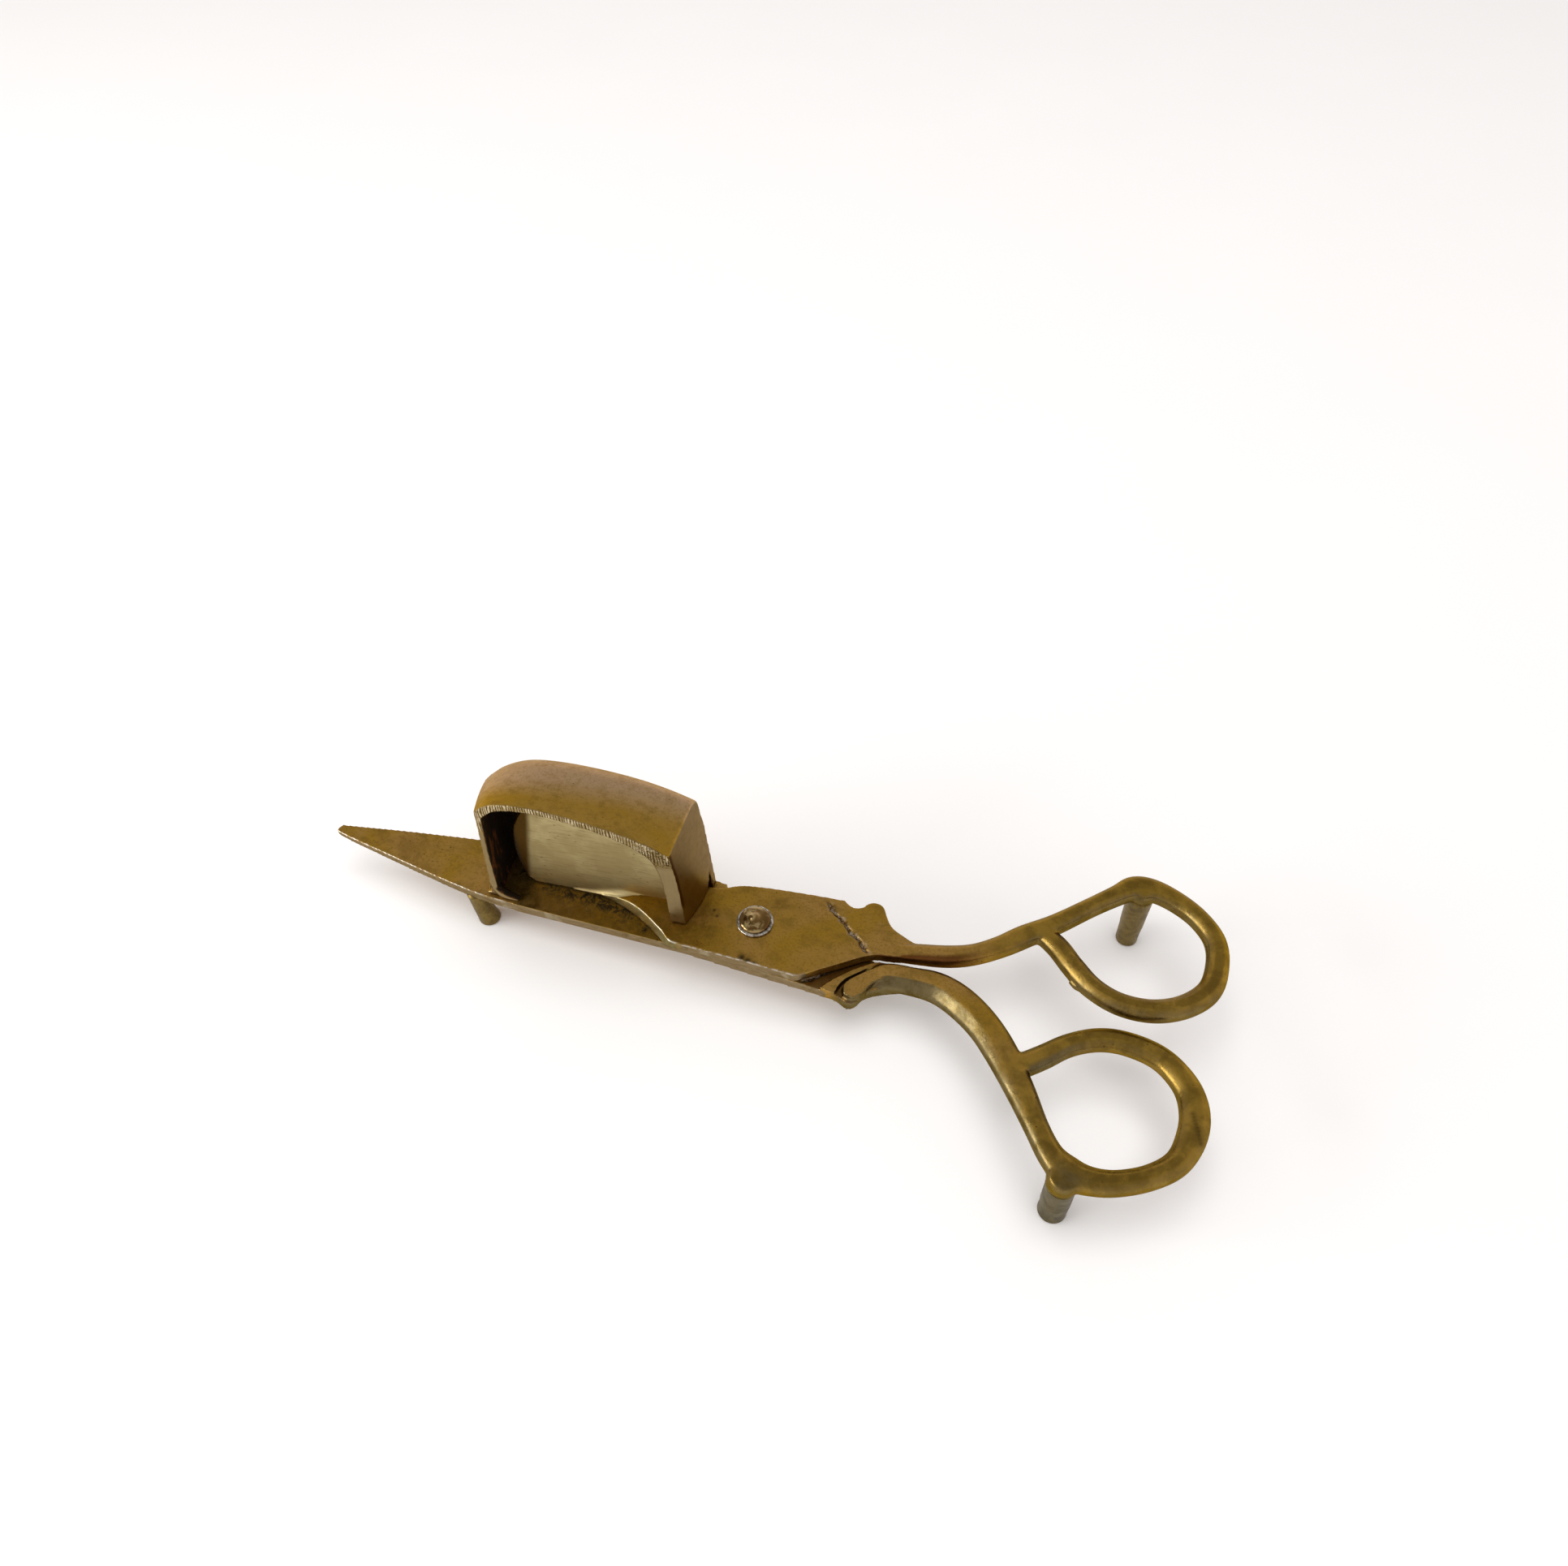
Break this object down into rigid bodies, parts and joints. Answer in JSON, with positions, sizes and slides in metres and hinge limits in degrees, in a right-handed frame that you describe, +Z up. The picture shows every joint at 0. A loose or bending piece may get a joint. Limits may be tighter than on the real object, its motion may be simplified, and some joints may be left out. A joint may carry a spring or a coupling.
{
  "type": "wick trimmer",
  "caption": "Scissor-action brass wick trimmer with a pointed nose, an arched open-fronted wick box, a sweeping plate, finger bows and stub feet.",
  "frame": {"origin": "Centre of the bounding box seen from above, at the height of the feet's soles.", "axes": "+X runs along the tool from the pointed nose to the finger bows, -Y is the side the box's mouth faces, +Z is up from the surface it stands on."},
  "size_m": [0.1708, 0.0622, 0.0398],
  "materials": {
    "arm_brass": "aged, golden-brown patina over cast brass",
    "box_brass": "aged, hand-polished roof with a brown-mauve patina",
    "foot_brass": "aged, dull olive-grey turned brass",
    "rivet_brass": "hammered, worn bright",
    "washer_white_metal": "worn pale, soldered-looking",
    "plate_brass": "brushed sheet, heat-stained at one edge"
  },
  "bodies": {
    "box_side": {"box_arm": "arm_brass", "wick_box": "box_brass", "nose_foot": "foot_brass", "box_arm_foot": "foot_brass", "pivot_rivet": "rivet_brass", "rivet_collar": "washer_white_metal", "rivet_burr": "washer_white_metal"},
    "pusher_side": {"pusher_arm": "arm_brass", "pusher_plate": "plate_brass", "pusher_arm_foot": "foot_brass"}
  },
  "joints": [
    {"name": "rivet_pivot", "type": "hinge", "parent": "box_side", "child": "pusher_side", "pos_m": [0.0023, 0.00409, 0.012], "axis": [0, 0, 1], "range_deg": [-1, 45]}
  ]
}
